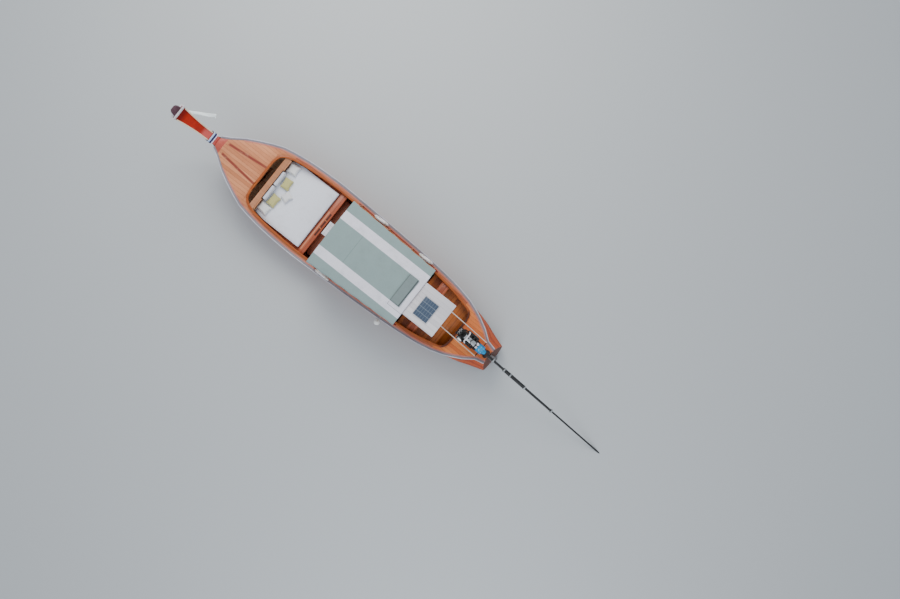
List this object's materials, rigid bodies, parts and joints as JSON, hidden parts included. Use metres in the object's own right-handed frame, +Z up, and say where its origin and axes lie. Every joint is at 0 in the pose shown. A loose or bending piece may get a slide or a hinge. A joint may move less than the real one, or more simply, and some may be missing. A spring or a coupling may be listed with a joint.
{
  "type": "longtail boat",
  "caption": "Planked timber longtail boat with a swept-up prow, a forward sunbed, an awning over the cabin and an open engine on a swivel that turns a propeller on a long shaft.",
  "frame": {"origin": "amidships on the centreline, at the height of the waterline", "axes": "+X towards the bow, +Y to port, +Z up"},
  "size_m": [19.3694, 3.2421, 3.7024],
  "materials": {
    "oxide_paint": "matt oxide paint on timber",
    "varnished_wood": "weathered gloss varnish on timber",
    "deck_wood": "pale worn deck planks",
    "dark_wood": "dark oiled timber",
    "prow_paint": "red gloss paint on timber",
    "nose_paint": "dark purple-grey paint on timber",
    "rail_paint": "grey-white paint on timber",
    "grey_paint": "worn grey paint on timber",
    "white_paint": "white paint on boards",
    "sash_cloth": "blue and white cloth",
    "white_cloth": "white cotton",
    "cushion_cloth": "pale grey canvas",
    "lime_cloth": "khaki-lime cotton",
    "canopy_cloth": "grey-green and white awning canvas",
    "solar_glass": "solar cells behind glass",
    "ring_plastic": "white plastic",
    "dark_steel": "dark painted steel",
    "blue_paint": "blue paint on a cast casing",
    "engine_metal": "oily dark castings",
    "bright_metal": "bright metal",
    "black_tube": "black paint on tube",
    "bronze": "worn bronze"
  },
  "bodies": {
    "hull": {"bottom_planking": "oxide_paint", "side_planking_port": "varnished_wood", "side_planking_starboard": "varnished_wood", "keel": "oxide_paint", "stem_and_prow": "prow_paint", "neck_sash": "sash_cloth", "prow_band": "white_paint", "prow_nose": "nose_paint", "streamer": "white_cloth", "foredeck": "deck_wood", "breasthook": "deck_wood", "aft_deck": "varnished_wood", "side_deck_port": "varnished_wood", "side_deck_starboard": "varnished_wood", "rub_rail_port": "rail_paint", "rub_rail_starboard": "rail_paint", "coaming_port": "varnished_wood", "coaming_starboard": "varnished_wood", "transom": "varnished_wood", "sternpost": "grey_paint", "cabin_sole": "deck_wood", "aft_sole": "varnished_wood", "sunbed_platform": "varnished_wood", "companion_bench": "varnished_wood", "step": "dark_wood", "headboard": "varnished_wood", "side_bench_port": "varnished_wood", "side_bench_starboard": "varnished_wood", "frames_port": "varnished_wood", "frames_starboard": "varnished_wood", "aft_thwart": "deck_wood", "mattress": "cushion_cloth", "back_cushion_port": "cushion_cloth", "back_cushion_starboard": "cushion_cloth", "corner_pillow_port": "white_cloth", "corner_pillow_starboard": "white_cloth", "lime_pillow_port": "lime_cloth", "lime_pillow_starboard": "lime_cloth", "centre_pillow": "white_cloth", "roof_canopy": "canopy_cloth", "folded_canvas": "canopy_cloth", "roof_bows": "varnished_wood", "roof_front_board": "white_paint", "roof_frame_port": "varnished_wood", "roof_frame_starboard": "varnished_wood", "rear_roof": "white_paint", "solar_panel": "solar_glass", "life_ring_port": "ring_plastic", "life_ring_fore": "ring_plastic", "life_ring_aft": "ring_plastic", "fender": "ring_plastic", "engine_pedestal": "grey_paint"},
    "swivel": {"swivel_yoke": "dark_steel"},
    "engine_unit": {"engine_cradle": "dark_steel", "gearbox": "blue_paint", "engine_block": "engine_metal", "air_cleaner": "bright_metal", "exhaust_pipe": "bright_metal", "tail_tube": "black_tube"},
    "propeller": {"propeller": "bronze"}
  },
  "joints": [
    {"name": "engine_swing", "type": "hinge", "parent": "hull", "child": "swivel", "pos_m": [-6.19, 0, 1.5], "axis": [0, 0, 1], "range_deg": [-36.8, 43.2]},
    {"name": "engine_tilt", "type": "hinge", "parent": "swivel", "child": "engine_unit", "pos_m": [-6.19, 0, 1.5], "axis": [0.0558, 0.9984, 0], "range_deg": [-4, 12]},
    {"name": "propeller_spin", "type": "hinge", "parent": "engine_unit", "child": "propeller", "pos_m": [-12.29527, 0.34133, -0.13848], "axis": [0.9644, -0.0539, 0.2588], "continuous": true}
  ]
}
